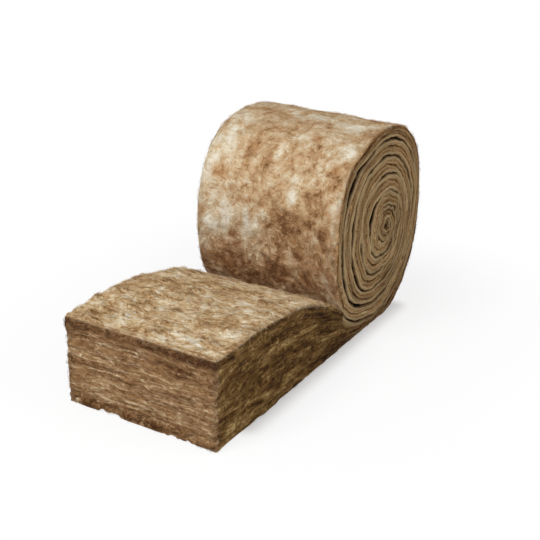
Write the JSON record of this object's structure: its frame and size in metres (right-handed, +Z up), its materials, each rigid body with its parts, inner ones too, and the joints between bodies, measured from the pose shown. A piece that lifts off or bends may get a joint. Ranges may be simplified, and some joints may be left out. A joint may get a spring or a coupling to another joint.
{
  "type": "insulation roll",
  "caption": "Mineral wool insulation blanket, wound as a roll with its free end laid out flat and its turns showing on both ends.",
  "frame": {"origin": "on the floor, at the middle of the footprint", "axes": "+X from the free end of the blanket towards the roll, +Y across the blanket, +Z up"},
  "size_m": [0.9525, 0.38, 0.5069],
  "materials": {
    "mineral_wool": "matte, fibrous, mottled brown, tan and cream"
  },
  "bodies": {
    "root": {"wool_blanket": "mineral_wool"}
  },
  "joints": []
}
